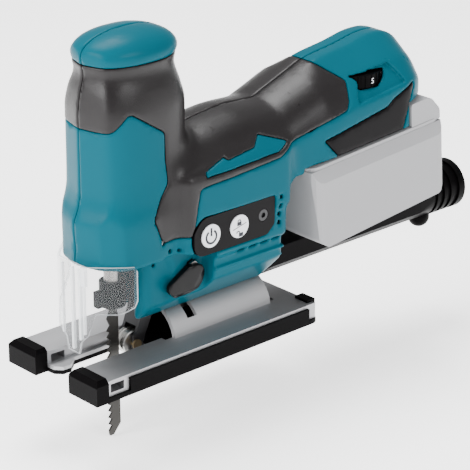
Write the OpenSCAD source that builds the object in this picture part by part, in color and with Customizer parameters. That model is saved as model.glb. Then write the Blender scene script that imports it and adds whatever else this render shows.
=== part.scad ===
// Cordless barrel-grip jigsaw with its battery pack, dust nozzle and bevelling shoe.
// Frame: millimetres, +Z up. The tool points along -X and +Y is its right-hand side.
// The origin is the middle of the sole's underside, so the sole lies in the plane z = 0.

/* [Shoe] */
// Length of the sole
shoe_l = 162; // [158:1:168]
// Width of the sole
shoe_w = 76; // [75:1:80]
// Height of the bevel axis above the sole
bevel_z = 8; // [7.5:0.5:8.5]
// Radius of the shoe's half-round saddle
saddle_r = 20; // [19:0.5:21]

/* [Drive] */
// Stroke of the blade
stroke = 26; // [22:1:26]
// Diameter of the plunger rod
rod_d = 9; // [8:0.5:9]

/* [Blade] */
// Width of the blade behind its teeth
blade_w = 8; // [6:0.5:8]
// Thickness of the blade
blade_t = 1.2; // [1:0.1:1.4]
// How far the blade's tip lies below the sole
blade_reach = 44; // [35:1:50]
// Pitch of the saw teeth
tooth_pitch = 4; // [2:0.5:4]

/* [Housing] */
// Half of the width of the motor body
body_hw = 33; // [32:0.5:34]
// Wall of the casing
wall = 2.6; // [2:0.2:3]
// Thickness of the rubber over-mould
rubber_t = 1.2; // [1:0.1:1.4]

/* [Battery] */
// Length of the battery pack
battery_l = 104; // [100:1:110]
// Half of the width of the battery pack
battery_hw = 37.5; // [36:0.5:37.5]
// Height of the battery's case below its shoulder
battery_h = 46; // [44:1:46]

/* [Hidden] */

gap = 0.3;                          // clearance between parts that move past each other
battery_tilt = 4;                   // degrees that the battery's rails rise to the rear
pinion_teeth = 10;
gear_teeth = 42;
gear_module = 1;
shoe_x0 = -shoe_l / 2;
shoe_top = 11.5;
sheet_t = 2.5;                      // thickness of the shoe's metal and of its plastic cover
blade_back = -35;                   // x of the blade's straight edge
rod_x = blade_back - blade_w / 2 + 0.5;
motor_z = 80;
gear_z = motor_z + gear_module * (gear_teeth + pinion_teeth) / 2;
crank_r = stroke / 2;
yoke_z = gear_z - crank_r;          // the yoke at the bottom of its stroke
roller_at = [-28, 9];               // x and z of the guide roller
pivot_at = [-12, 50];               // x and z of the guide arm's pivot
lever_at = [0, 52];                 // x and z of the orbit lever's shaft
clamp_z = 33;
bolt_x = 4;
dial_at = [130, -11.5, 129.5];
battery_at = [78, 0, 91];           // front of the battery's shoulder
nozzle_z = 36.5;                    // axis of the round hose end
nozzle_end = 227;
panel_y = -body_hw;
hump_x0 = -11;
hump_x1 = 60;

// ---------- helpers ----------

function unit(v) = v / norm(v);

// One corner [x, y, radius] drawn as a curve from one side to the next.
function corner(a, p, b, n) =
    let (q = [p.x, p.y], u = unit([a.x, a.y] - q), v = unit([b.x, b.y] - q),
         t = p[2] <= 0 ? 0 : p[2] * sqrt((1 + u * v) / max(1e-6, 1 - u * v)))
    t <= 0 ? [q] : [for (i = [0:n]) let (s = i / n)
        (1 - s) * (1 - s) * (q + t * u) + 2 * s * (1 - s) * q + s * s * (q + t * v)];

// A closed outline from corners [x, y, radius].
function rounded(c, n = 4) =
    [for (i = [0:len(c) - 1])
        each corner(c[(i + len(c) - 1) % len(c)], c[i], c[(i + 1) % len(c)], n)];

// An outline given as its +Y half, mirrored to a whole one.
function mirrored(half) =
    concat(half, [for (i = [len(half) - 1:-1:0]) [half[i].x, -half[i].y]]);

function signed_pow(v, e) = sign(v) * pow(abs(v), e);

// Points of a superellipse with half axes a and b and exponent n.
function oval(a, b, n, points = 24) =
    [for (i = [0:points - 1]) let (t = 360 * (i + 0.5) / points)
        [a * signed_pow(cos(t), 2 / n), b * signed_pow(sin(t), 2 / n)]];

function left_normal(a, b) = let (u = unit([b.x - a.x, b.y - a.y])) [-u.y, u.x];

// Corners [x, y, radius] of an anticlockwise outline, moved inwards by d.
function inset(c, d) =
    [for (i = [0:len(c) - 1])
        let (p = c[i], m = left_normal(c[(i + len(c) - 1) % len(c)], p), n = left_normal(p, c[(i + 1) % len(c)]),
             q = [p.x, p.y] + d * (m + n) / (1 + m * n))
        [q.x, q.y, max(p[2] - d, 0)]];

// Extrudes an (x, z) outline along Y, from y0 to y1.
module along_y(y0, y1) {
    translate([0, y1, 0]) rotate([90, 0, 0]) linear_extrude(y1 - y0) children();
}

// Extrudes a (y, z) outline along X, from x0 to x1.
module along_x(x0, x1) {
    translate([x0, 0, 0]) rotate([90, 0, 90]) linear_extrude(x1 - x0) children();
}

module rod_x_axis(x0, x1, r, y = 0, z = 0, fn = 48) {
    translate([x0, y, z]) rotate([0, 90, 0]) cylinder(h = x1 - x0, r = r, $fn = fn);
}

module rod_y_axis(y0, y1, r, x = 0, z = 0, fn = 48) {
    translate([x, y1, z]) rotate([90, 0, 0]) cylinder(h = y1 - y0, r = r, $fn = fn);
}

module block(low, high) {
    translate(low) cube(high - low);
}

// ---------- outer form of the casing ----------

// Side view of the head with its cap, in (x, z).
head_side = [[-62, 66, 2], [2, 66, 0], [5, 100, 0], [5, 146, 6], [0.5, 167, 3], [2.5, 175, 5], [-4, 183, 8],
    [-22, 188, 10], [-36, 188, 10], [-54, 183, 8], [-59.5, 175, 5], [-56.5, 167, 3], [-59, 150, 6],
    [-59, 104, 6], [-64, 88, 6]];
// Right half of its front view, in (y, z), from the bottom up.
head_front = [[25, 66, 2], [27, 86, 6], [25, 104, 6], [25, 150, 6], [20.5, 167, 3], [22.5, 175, 5], [17, 183.5, 8],
    [5, 188, 8]];

module head(d) {
    intersection() {
        along_y(-40, 40) polygon(rounded(inset(head_side, d), 2));
        along_x(-80, 20) polygon(rounded(inset(whole(head_front), d), 2));
        translate([-29.5, 0, 60]) linear_extrude(140) polygon(oval(34.5 - d, 27 - d, 2.4));
    }
}

// A whole outline from its +Y half, given from the bottom up.
function whole(half) = concat(half, [for (i = [len(half) - 1:-1:0]) [-half[i].x, half[i].y, half[i][2]]]);

// Side view, section and plan of the two parts of the barrel.
grip_side = [[-10, 88, 0], [8, 78, 4], [90, 78, 0], [90, 138, 0], [64, 129, 10], [30, 130, 10], [-10, 124, 0]];
grip_section = [[32, 74, 0], [32, 106, 10], [22, 122, 10], [8, 131, 8]];
rear_side = [[74, 78, 0], [150, 86, 10], [170, 92, 12], [182, 106, 12], [184, 122, 12], [176, 140, 12],
    [157, 149.5, 12], [146, 149.5, 20], [103, 143, 20], [74, 133, 0]];
rear_section = [[33.5, 74, 0], [33.5, 122, 8], [24, 136, 8], [8, 150, 6]];
rear_plan = [[74, -33.5, 0], [158, -33.5, 20], [184, -20, 14], [184, 20, 14], [158, 33.5, 20], [74, 33.5, 0]];

module barrel(d) {
    intersection() {
        along_y(-40, 40) polygon(rounded(inset(grip_side, d), 2));
        along_x(-20, 95) polygon(rounded(inset(whole(grip_section), d), 3));
    }
    intersection() {
        along_y(-40, 40) polygon(rounded(inset(rear_side, d), 3));
        along_x(70, 185) polygon(rounded(inset(whole(rear_section), d), 3));
        linear_extrude_between(70, 165) polygon(rounded(inset(rear_plan, d), 3));
    }
}

// Plan and section of the motor body.
body_plan = [[-30, -20, 0], [-8, -body_hw, 8], [56, -body_hw, 4], [61, -30.5, 3], [61, 30.5, 3], [56, body_hw, 4],
    [-8, body_hw, 8], [-30, 20, 0]];
body_section = [[16, 28, 0], [body_hw, 45, 4], [body_hw, 102, 6], [26, 112, 6]];

module motor_body(d) {
    intersection() {
        linear_extrude_between(20, 120) polygon(rounded(inset(body_plan, d), 2));
        along_x(-40, 70) polygon(rounded(inset(whole(body_section), d), 2));
    }
}

// The narrow front leg that carries the guide arm.
leg_front = [[11, 27, 1], [18, 34, 4], [20, 72, 0]];

module leg(d) {
    intersection() {
        linear_extrude_between(20, 75) polygon(rounded(inset([[-30, -20, 5], [-8, -20, 0], [-8, 20, 0],
            [-30, 20, 5]], d), 3));
        along_x(-40, 0) polygon(rounded(inset(whole(leg_front), d), 2));
    }
}

module outer_form(d) {
    head(d);
    barrel(d);
    motor_body(d);
    leg(d);
}

// What the tilted shoe sweeps, plus its saddle: nothing of the casing lies in it.
module shoe_sweep() {
    along_x(shoe_x0 - 5, -shoe_x0 + 5)
        polygon([[-70, 84.5], [0, 14.5], [70, 84.5], [70, -20], [-70, -20]]);
    rod_x_axis(hump_x0 - 6, hump_x1 + 3, saddle_r + gap, 0, bevel_z, 96);
}

module battery_frame() {
    translate(battery_at) rotate([0, -battery_tilt, 0]) children();
}

// Space that the battery needs as it slides out to the rear.
module battery_path() {
    battery_frame() {
        block([-4, -60, -60], [160, 60, 0.5]);
        block([0, -27.5, 0], [160, 27.5, 17]);
        block([80, -34.5, 0], [160, 34.5, 14.5]);
    }
}

// Side outlines of the rubber areas, in (x, z).
grip_zone = rounded([[-75, 140, 0], [-60, 139, 2], [-52, 137, 3], [-43, 147.5, 2], [-22, 133.5, 3], [-21.5, 105, 4],
    [-30, 88, 2], [-24, 73.5, 1.5], [-9, 75, 2], [-3, 99, 2], [62, 107.5, 2], [82, 117.5, 3], [104, 118.5, 3],
    [109.5, 124, 3], [109.5, 132, 3], [101, 141, 3], [101, 172.5, 0], [-75, 172.5, 0]], 2);
accent_zone = rounded([[-3, 108.5, 1], [1, 104.5, 1], [60, 113, 1], [50, 119.5, 4], [38.5, 121, 1], [36.5, 117, 2],
    [16, 113.5, 2], [11, 115.5, 1]], 2);
rear_pad_zone = rounded([[88, 104.5, 1.5], [100, 92, 1], [150, 95.5, 1.5], [161, 124, 2], [143, 118, 4],
    [137, 113, 3]], 2);

module zone(outline) {
    along_y(-50, 50) polygon(outline);
}

// ---------- casing halves ----------

module rubber_zone() {
    difference() {
        zone(grip_zone);
        zone(accent_zone);
    }
    zone(rear_pad_zone);
}

module cavity() {
    difference() {
        outer_form(wall);
        // floor of the head
        block([-70, -40, 0], [-31, 40, 69]);
        // roof over the battery receiver
        battery_frame() block([-6, -40, -30], [110, 40, 23.5]);
        // wall that holds the motor's rear bearing
        block([43, -40, 20], [50, 40, 102]);
        // floor below the motor, above the saddle
        block([-10, -40, 20], [70, 40, 52]);
        // rails that hold the gear frame
        for (side = [-1, 1])
            block([-18, side * 20.5 - 3.5, 62], [-5.5, side * 20.5 + 3.5, 140]);
        // rests of the controller's board
        for (x = [66, 90]) block([x, -14, 108], [x + 4, 14, 118]);
        // post of the dial's potentiometer
        block([dial_at.x - 9, -20, 108], [dial_at.x + 9, -3, dial_at.z - 12.5]);
        for (s = screw_spots) rod_y_axis(-40, 40, 4, s.x, s.y, 24);
    }
}

// Casing screws, in (x, z), and the Y of their heads' undersides.
screw_spots = [[-53, 76], [-50, 152], [-8, 150], [10, 116], [56, 114], [104, 131], [160, 128], [56, 60], [45, 35.5]];
screw_head_y = 14;

module vents() {
    for (side = [-1, 1]) {
        for (i = [0:3])
            translate([53.6, side * (body_hw - 1), 66 + 5.2 * i]) cube([2.2, 10, 2.6], center = true);
        for (i = [0:3])
            translate([28 + 8.5 * i, side * (body_hw - 1), 57.6]) cube([6, 10, 1.6], center = true);
    }
}

// Everything that is cut out of both halves besides the main cavity.
module casing_cuts() {
    shoe_sweep();
    battery_path();
    // opening in the head's floor for the clamp, and the lens of the work light
    translate([rod_x, 0, 60]) cylinder(h = 14, r = 12.5, $fn = 48);
    translate([-37, 18.5, 60]) cylinder(h = 14, r = 3, $fn = 32);
    // slot in the leg for the guide arm
    block([-45, -7.2, 10], [-4, 7.2, 66]);
    // seats of the gear frame, the motor and its rear bearing
    block([-15.5, -18, 62], [-5.5, 18, 140]);
    rod_x_axis(-5.5, 43, 24.4, 0, motor_z, 64);
    rod_x_axis(40, 51, 8, 0, motor_z);
    // plunger path above the upper bush
    translate([rod_x, 0, 138]) cylinder(h = 38, r = 6, $fn = 32);
    // pocket and bores of the orbit lever and of the guide arm's pin
    block([-26, -60, 33], [9, -20.6, 65]);
    rod_y_axis(-24, 17, 3.05, lever_at.x, lever_at.y);
    rod_y_axis(-18, 18, 2.5, pivot_at.x, pivot_at.y);
    // recess of the control panel, its button holes and the bay of the board
    along_y(panel_y - 9, panel_y + 2) polygon(panel_outline(0.1));
    for (x = button_x) rod_y_axis(-40, -24, 7.2, x, button_z);
    block([-8, -28.4, 66], [34, -24.5, 86]);
    rod_y_axis(-45, -20, 1.6, 41, 74, 24);
    // window and bay of the speed dial
    block([dial_at.x - 9.5, -50, dial_at.z - 4.2], [dial_at.x + 9.5, -18, dial_at.z + 4.2]);
    translate([dial_at.x, dial_at.y, dial_at.z - 4.2]) cylinder(h = 8.4, r = 17, $fn = 64);
    translate([dial_at.x, dial_at.y, dial_at.z - 17]) cylinder(h = 14, r = 8, $fn = 32);
    // bay of the receiver
    battery_frame() block([1, -31, -1], [71, 31, 21.5]);
    // bevel bolt and nut, dust duct and socket of the dust nozzle
    translate([bolt_x, 0, 20]) cylinder(h = 22, r = 3.4, $fn = 32);
    translate([bolt_x, 0, 33]) cylinder(h = 7, r = 5.8, $fn = 6);
    block([-6, -11, 40.6], [62, 11, 48]);
    block([53, -12.3, 30.6], [70, 12.3, 41]);
    vents();
    // pilot holes and counterbores of the casing screws
    for (s = screw_spots) {
        rod_y_axis(-13, 45, 1.6, s.x, s.y, 24);
        rod_y_axis(screw_head_y, 60, 3.4, s.x, s.y, 24);
    }
}

// Full size where the plastic shows, set in by the rubber's thickness where rubber covers it.
module casing() {
    difference() {
        union() {
            difference() {
                outer_form(0);
                rubber_zone();
            }
            outer_form(rubber_t);
        }
        cavity();
        casing_cuts();
    }
}

module left_half() {
    intersection() {
        children();
        block([-100, -60, 0], [220, 0, 200]);
    }
}

module right_half() {
    intersection() {
        children();
        block([-100, 0, 0], [220, 60, 200]);
    }
}

module left_housing() { color("darkcyan") left_half() casing(); }

module right_housing() { color("darkcyan") right_half() casing(); }

// Rubber skin over the grip: the outer form less the same form set in by its thickness.
module rubber_skin(outline) {
    difference() {
        intersection() {
            outer_form(0);
            zone(outline);
        }
        outer_form(rubber_t);
        battery_path();
        block([dial_at.x - 9.5, -50, dial_at.z - 4.2], [dial_at.x + 9.5, -18, dial_at.z + 4.2]);
        for (s = screw_spots) rod_y_axis(0, 60, 3.4, s.x, s.y, 24);
    }
}

module grip_overmould() {
    difference() {
        rubber_skin(grip_zone);
        zone(accent_zone);
    }
}

module left_grip_overmould() { color("dimgray") left_half() grip_overmould(); }

module right_grip_overmould() { color("dimgray") right_half() grip_overmould(); }

module left_rear_pad() { color("dimgray") left_half() rubber_skin(rear_pad_zone); }

module right_rear_pad() { color("dimgray") right_half() rubber_skin(rear_pad_zone); }

// Pan-head screws that draw the two halves together.
module screw(head_r, head_h, shank_r, shank_l) {
    difference() {
        union() {
            translate([0, 0, -head_h]) cylinder(h = head_h, r = head_r, $fn = 32);
            cylinder(h = shank_l, r = shank_r, $fn = 24);
        }
        translate([0, 0, -head_h - 1]) cylinder(h = 2.2, r = head_r * 0.5, $fn = 6);
    }
}

module housing_screws() {
    color("gray") for (s = screw_spots)
        translate([s.x, screw_head_y, s.y]) rotate([90, 0, 0]) screw(3, 2, 1.6, 26);
}

// ---------- drive ----------

module gear_frame() {
    color("silver") difference() {
        union() {
            block([-15.5, -18, 62], [-6, 18, 140]);
            block([-47, -17, 77], [-6, 17, 83.4]);
            block([-47, -17, 129.6], [-6, 17, 140]);
        }
        for (z = [70, 120]) translate([rod_x, 0, z]) cylinder(h = 25, r = 7, $fn = 48);
        rod_x_axis(-20, 0, 8, 0, gear_z);
        rod_x_axis(-20, 0, 7, 0, motor_z);
        block([-28, -8, 70], [-15.5, 8, 84]);
        for (y = frame_screw_y) for (z = frame_screw_z) rod_x_axis(-20, 0, 1.6, y, z, 24);
    }
}

frame_screw_y = [-14, 14];
frame_screw_z = [65.5, 134];

module gear_frame_screws() {
    color("gray") for (y = frame_screw_y) for (z = frame_screw_z)
        translate([-6, y, z]) rotate([0, -90, 0]) screw(3, 1.4, 1.6, 9);
}

module bush(r_out, r_in, h) {
    difference() {
        cylinder(h = h, r = r_out, $fn = 48);
        translate([0, 0, -1]) cylinder(h = h + 2, r = r_in, $fn = 48);
    }
}

module lower_bush() {
    color("goldenrod") translate([rod_x, 0, 77]) bush(7, rod_d / 2 + 0.05, 6.4);
}

module upper_bush() {
    color("goldenrod") translate([rod_x, 0, 129.6]) bush(7, rod_d / 2 + 0.05, 10.4);
}

module bearing(r_out, r_in, w) {
    difference() {
        bush(r_out, r_in, w);
        for (z = [-1, w - 0.6]) translate([0, 0, z]) bush(r_out * 0.86, r_in * 1.35, 1.6);
    }
}

module gear_bearing() {
    color("lightgray") translate([-14.5, 0, gear_z]) rotate([0, 90, 0]) bearing(8, 4.04, 8);
}

module motor_front_bearing() {
    color("lightgray") translate([-14.5, 0, motor_z]) rotate([0, 90, 0]) bearing(7, 3.04, 7);
}

module motor_rear_bearing() {
    color("lightgray") translate([43.5, 0, motor_z]) rotate([0, 90, 0]) bearing(8, 3.04, 6);
}

// Involute tooth space helpers: pressure angle 25 degrees, radii in mm.
pressure = 25;
function involute(rb, t) = rb * [cos(t) + t * PI / 180 * sin(t), sin(t) - t * PI / 180 * cos(t)];
function turned(p, a) = [p.x * cos(a) - p.y * sin(a), p.x * sin(a) + p.y * cos(a)];
function roll_angle(rb, r) = r <= rb ? 0 : sqrt(r * r / (rb * rb) - 1) * 180 / PI;
function inv_deg(a) = tan(a) * 180 / PI - a;

// A spur gear's outline: addendum and dedendum in modules, thinned by backlash (mm).
function gear_outline(teeth, add, ded, backlash, steps = 4) =
    let (rp = gear_module * teeth / 2, rb = rp * cos(pressure), ra = rp + add * gear_module,
         rf = rp - ded * gear_module, t1 = roll_angle(rb, ra),
         half = 90 / teeth - backlash / rp * 90 / PI + inv_deg(pressure),
         flank = [for (i = [0:steps]) involute(rb, t1 * i / steps)])
    [for (k = [0:teeth - 1]) let (c = 360 * k / teeth)
        each concat(
            [turned([rf, 0], c - half - 0.2 * 90 / teeth)],
            [for (p = flank) turned(p, c - half)],
            [for (i = [steps:-1:0]) turned([flank[i].x, -flank[i].y], c + half)],
            [turned([rf, 0], c + half + 0.2 * 90 / teeth)])];

module drive_gear() {
    color("slategray") difference() {
        union() {
            translate([-26, 0, gear_z]) rotate([90, 0, 90]) linear_extrude(8)
                polygon(gear_outline(gear_teeth, 0.8, 1.25, 0.08));
            rod_x_axis(-18, -15.8, 7, 0, gear_z);
            rod_x_axis(-18, -3, 4, 0, gear_z);
        }
        for (a = [90:60:330])
            translate([-30, 14 * cos(a), gear_z + 14 * sin(a)]) rotate([0, 90, 0]) cylinder(h = 6.5, r = 3, $fn = 24);
    }
}

module crank_pin() {
    color("silver") rod_x_axis(-29.5, -26, 4, 0, yoke_z);
}

// Half disc opposite the crank pin.
module counterweight() {
    color("dimgray") difference() {
        rod_x_axis(-28.5, -26, 18, 0, gear_z, 64);
        block([-40, -30, gear_z - 30], [0, 30, gear_z + 5]);
    }
}

module rotor() {
    color("gray") difference() {
        rod_x_axis(8, 36, 12.4, 0, motor_z);
        rod_x_axis(0, 40, 3, 0, motor_z);
    }
}

module motor_shaft() {
    color("silver") union() {
        rod_x_axis(-20, 49.4, 3, 0, motor_z);
        translate([-26, 0, motor_z]) rotate([90, 0, 90]) linear_extrude(9)
            rotate(90) polygon(gear_outline(pinion_teeth, 1, 1.1, 0.08));
    }
}

module cooling_fan() {
    color("black") translate([-4, 0, motor_z]) rotate([90, 0, 90]) difference() {
        union() {
            cylinder(h = 1.6, r = 20, $fn = 64);
            cylinder(h = 6.5, r = 6, $fn = 32);
            for (a = [0:24:359]) rotate(a) translate([5.5, -0.6, 0]) cube([14, 1.2, 6.5]);
        }
        translate([0, 0, -1]) cylinder(h = 9, r = 3, $fn = 32);
    }
}

module motor_stator() {
    color("gray") difference() {
        rod_x_axis(9, 35, 22, 0, motor_z, 96);
        rod_x_axis(0, 40, 12.9, 0, motor_z, 64);
        for (a = [0:60:359]) rotate_about_motor(a) block([0, -4, motor_z + 14.5], [40, 4, motor_z + 18.5]);
    }
}

module rotate_about_motor(a) {
    translate([0, 0, motor_z]) rotate([a, 0, 0]) translate([0, 0, -motor_z]) children();
}

module stator_windings() {
    color("chocolate") for (x = [4.2, 35.2])
        translate([x, 0, motor_z]) rotate([0, 90, 0]) bush(20.5, 13.4, 4.6);
}

module plunger_rod() {
    color("silver") translate([rod_x, 0, 48]) cylinder(h = 98, r = rod_d / 2, $fn = 48);
}

module yoke_plate() {
    color("slategray") difference() {
        along_x(rod_x - 1, -30)
            polygon(rounded([[-19, yoke_z - 7.5, 3], [19, yoke_z - 7.5, 3], [19, yoke_z + 7.5, 3],
                [-19, yoke_z + 7.5, 3]]));
        along_x(rod_x + 5.2, -29)
            polygon(rounded([[-17, yoke_z - 4.2, 4], [17, yoke_z - 4.2, 4], [17, yoke_z + 4.2, 4],
                [-17, yoke_z + 4.2, 4]]));
        translate([rod_x, 0, 40]) cylinder(h = 120, r = rod_d / 2, $fn = 48);
    }
}

module blade_clamp() {
    color("dimgray") translate([rod_x, 0, clamp_z]) difference() {
        union() {
            cylinder(h = 15, r = 5.4, $fn = 48);
            translate([0, 0, 13]) cylinder(h = 2, r = 7.2, $fn = 48);
        }
        translate([-blade_w / 2 - 0.55, -blade_t / 2 - 0.02, -1]) cube([blade_w + 1.1, blade_t + 0.04, 14]);
    }
}

// The sleeve that turns to let the blade go, with its finger lug.
module clamp_sleeve() {
    color("gray") translate([rod_x, 0, clamp_z + 1]) difference() {
        union() {
            cylinder(h = 11.7, r = 7.2, $fn = 48);
            translate([-11.5, -2, 1]) cube([6, 4, 9]);
        }
        translate([0, 0, -1]) cylinder(h = 14, r = 5.45, $fn = 48);
    }
}

// Front edge of the blade: raked teeth, from the tip up to the shank.
blade_front = blade_back - blade_w;
tip_z = -blade_reach;
toothed = floor((24 + blade_reach - 3) / tooth_pitch);
blade_outline = concat(
    [[blade_back, tip_z + 6], [blade_back - 0.2, 27], [blade_back - 1.2, 30], [blade_back - 1.2, 44],
     [blade_back - blade_w + 2, 44], [blade_back - blade_w + 2, 30], [blade_front + 0.2, 26]],
    [for (i = [toothed - 1:-1:0]) let (z = tip_z + 2 + i * tooth_pitch)
        each [[blade_front + 2.2, z + 0.95 * tooth_pitch], [blade_front, z + 0.25 * tooth_pitch]]],
    [[blade_front + 0.6, tip_z], [blade_front + 3, tip_z]]);

module blade() {
    color("darkgray") along_y(-blade_t / 2, blade_t / 2) polygon(blade_outline);
}

// ---------- blade guide and orbit lever ----------

module guide_arm() {
    color("dimgray") difference() {
        along_y(-6.2, 6.2) polygon(rounded([[-33, 13.5, 2], [-33.2, 5, 2], [-24, 4.5, 3], [-21.5, 12, 4],
            [-10, 36, 5], [-5.5, 47, 5], [-8, 56, 5], [-16, 56, 5], [-18, 46, 5], [-22, 30, 5], [-27, 16, 3]]));
        block([-40, -4.3, 0], [-19.6, 4.3, 18.5]);
        along_y(-10, 10) polygon([[-40, 0], [-30.4, 0], [-29, 14.4], [-40, 20]]);
        rod_y_axis(-10, 10, 2.55, pivot_at.x, pivot_at.y);
        rod_y_axis(-10, 10, 2.04, roller_at.x + 0.4, roller_at.y);
    }
}

module guide_pivot_pin() {
    color("silver") rod_y_axis(-18, 18, 2.5, pivot_at.x, pivot_at.y);
}

module guide_roller() {
    color("silver") translate([roller_at.x + 0.4, 0, roller_at.y]) rotate([90, 0, 0]) rotate_extrude($fn = 64)
        polygon([[2.1, -3.9], [6.6, -3.9], [7.1, -3.4], [7.1, -1.1], [6.9, -1], [6.9, 1], [7.1, 1.1],
            [7.1, 3.4], [6.6, 3.9], [2.1, 3.9]]);
}

module roller_pin() {
    color("silver") union() {
        rod_y_axis(-7.4, 7.4, 2, roller_at.x + 0.4, roller_at.y);
        for (y = [-7.4, 6.3]) rod_y_axis(y, y + 1.1, 2.9, roller_at.x + 0.4, roller_at.y);
    }
}

// Wide lever, drawn in (x, z) and hanging down towards the front.
lever_outline = [[-3.5, 55.5, 3], [-18, 46.5, 4], [-19, 42.5, 4], [-11, 35.5, 4], [-5.5, 34, 4.5], [4.5, 42, 4],
    [6.5, 48, 4], [3.5, 54.5, 4]];

module orbit_lever() {
    color("dimgray") difference() {
        union() {
            along_y(-24, -20.9) polygon(rounded(lever_outline));
            along_y(-25.4, -24) polygon(rounded(inset(lever_outline, 1.2)));
        }
        rod_y_axis(-22.9, -15, 3, lever_at.x, lever_at.y);
        // lower end sloped to clear the side of the shoe that rises when it tilts
        along_x(-30, 20) polygon([[-30, 20], [-15, 20], [-15, 30], [-30, 45]]);
    }
}

// Shaft with a flat that lets the guide arm swing.
module lever_shaft() {
    color("silver") difference() {
        rod_y_axis(-22.8, 16, 3, lever_at.x, lever_at.y);
        block([lever_at.x - 4, -6.5, 40], [lever_at.x - 1.4, 6.5, 60]);
    }
}

// ---------- controls ----------

function panel_outline(d) =
    rounded([[-9 - d, 62 - d, 8 + d], [44 + d, 62 - d, 3], [49.5 + d, 67 - d, 3], [49.5 + d, 83.4 + d, 2],
        [-3 - d, 83.4 + d, 9 + d], [-9 - d, 76 + d, 6]], 6);

module control_panel() {
    color("black") difference() {
        along_y(panel_y - 0.7, panel_y + 2) polygon(panel_outline(0));
        for (x = button_x) rod_y_axis(-40, -20, 6.6, x, button_z);
        rod_y_axis(-40, -20, 1.6, 41, 74, 24);
        rod_y_axis(-40, panel_y + 0.8, 3.6, 41, 74, 32);
    }
}

button_x = [2.5, 23];
button_z = 72.5;

module panel_button(x) {
    color("white") union() {
        rod_y_axis(panel_y - 1.3, panel_y + 2.4, 6.5, x, button_z);
        rod_y_axis(panel_y + 2.3, panel_y + 3, 7, x, button_z);
    }
}

module power_button() { panel_button(button_x[0]); }

module lock_button() { panel_button(button_x[1]); }

module button_board() {
    color("green") union() {
        block([-8, -28.4, 66], [34, -26.9, 86]);
        for (x = button_x) block([x - 2, -28.9, button_z - 2], [x + 2, -28, button_z + 2]);
    }
}

module panel_screw() {
    color("gray") translate([41, panel_y + 0.8, 74]) rotate([-90, 0, 0]) screw(3.3, 1.4, 1.6, 9);
}

module speed_dial() {
    color("black") translate(dial_at) difference() {
        union() {
            translate([0, 0, -3.6]) cylinder(h = 7.2, r = 16, $fn = 96);
            for (a = [0:15:359]) rotate(a) translate([15.2, -0.5, -3.6]) cube([1.2, 1, 7.2]);
        }
        translate([0, 0, -4]) cylinder(h = 9, r = 3.05, $fn = 32);
    }
}

module dial_potentiometer() {
    color("gray") translate([dial_at.x, dial_at.y, 0]) union() {
        translate([0, 0, dial_at.z - 12.5]) cylinder(h = 7.5, r = 8, $fn = 32);
        translate([0, 0, dial_at.z - 6]) cylinder(h = 8, r = 3, $fn = 32);
    }
}

module controller() {
    color("darkgreen") union() {
        block([64, -16, 118], [98, 16, 119.6]);
        for (y = [-9:4.5:9]) block([66, y - 0.8, 119.6], [96, y + 0.8, 124]);
    }
}

module work_light_lens() {
    color("white") translate([-37, 18.5, 65.5]) cylinder(h = 3.5, r = 3, $fn = 32);
}

// ---------- battery and its receiver ----------

module battery_receiver() {
    color("black") battery_frame() difference() {
        block([1, -31, 1], [71, 31, 21.5]);
        block([3.5, -28, 0], [80, 28, 17.6]);
        // channel of the latch's tongue
        block([48, -9, 16], [80, 9, 23]);
        for (y = [-14, 0, 14]) block([0, y - 1, 8], [5, y + 1, 12]);
    }
    color("black") battery_frame() for (side = [-1, 1])
        block([6, min(side * 25, side * 28.2), 1.2], [71, max(side * 25, side * 28.2), 5]);
}

module receiver_contacts() {
    color("goldenrod") battery_frame() for (y = [-14, 0, 14])
        block([0.9, y - 0.4, 8.4], [16, y + 0.4, 11.6]);
}

battery_front = -1.5;
shoulder_hw = 33.8;                 // half width of the lid, above the sloped shoulders

function battery_plan(hw) = rounded([[battery_front, -hw, 7], [battery_l, -hw, 7], [battery_l, hw, 7],
    [battery_front, hw, 7]]);

module battery_case() {
    color("lightgray") battery_frame() difference() {
        intersection() {
            along_y(-battery_hw, battery_hw) polygon(rounded([[1, -battery_h + 2, 5], [7, -battery_h - 2.5, 3],
                [battery_l - 5, -battery_h + 0.4, 4], [battery_l, -battery_h + 6, 4], [battery_l, -2, 0],
                [battery_front, -2, 0]]));
            translate([0, 0, -battery_h - 4]) linear_extrude(battery_h + 4) polygon(battery_plan(battery_hw));
            along_x(battery_front - 1, battery_l + 1) polygon([[-battery_hw, -60], [battery_hw, -60],
                [battery_hw, -9], [shoulder_hw, -1.5], [-shoulder_hw, -1.5], [-battery_hw, -9]]);
        }
        block([2.4, -33.2, -battery_h + 2.8], [battery_l - 2.5, 33.2, 1]);
        for (x = [10, 92]) for (y = [-28, 28]) {
            translate([x, y, -battery_h - 4]) cylinder(h = 8, r = 1.7, $fn = 24);
            translate([x, y, -battery_h - 4]) cylinder(h = 5.8, r = 3.1, $fn = 24);
        }
    }
}

// Lid with the rails, the contact slots and the raised rear end.
module battery_top() {
    color("lightgray") battery_frame() difference() {
        union() {
            linear_extrude_between(-2, 0) polygon(battery_plan(shoulder_hw));
            block([5, -24, -1], [82, 24, 15.5]);
            for (side = [-1, 1])
                block([5, min(side * 23, side * 27), 6.2], [76, max(side * 23, side * 27), 10]);
            along_y(-33.5, 33.5) polygon(rounded([[80, -1, 0], [battery_l - 0.5, -1, 0],
                [battery_l - 0.5, 5, 6], [battery_l - 8, 14, 6], [80, 14, 2]]));
        }
        block([7, -21, -3], [78, 21, 5]);
        for (y = [-14, 0, 14]) block([0, y - 1, 7], [20, y + 1, 20]);
        block([91.5, -11.3, 1.2], [110, 11.3, 9.6]);
        block([62, -9, 15], [76, 9, 20]);
    }
}

// Two layers of five cells under the lid.
module battery_cells() {
    color("lightgray") battery_frame() for (i = [0:4]) for (z = [-33.6, -13])
        translate([12 + 19.6 * i, -33, z]) rotate([-90, 0, 0]) cylinder(h = 66, r = 9.2, $fn = 32);
}

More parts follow.
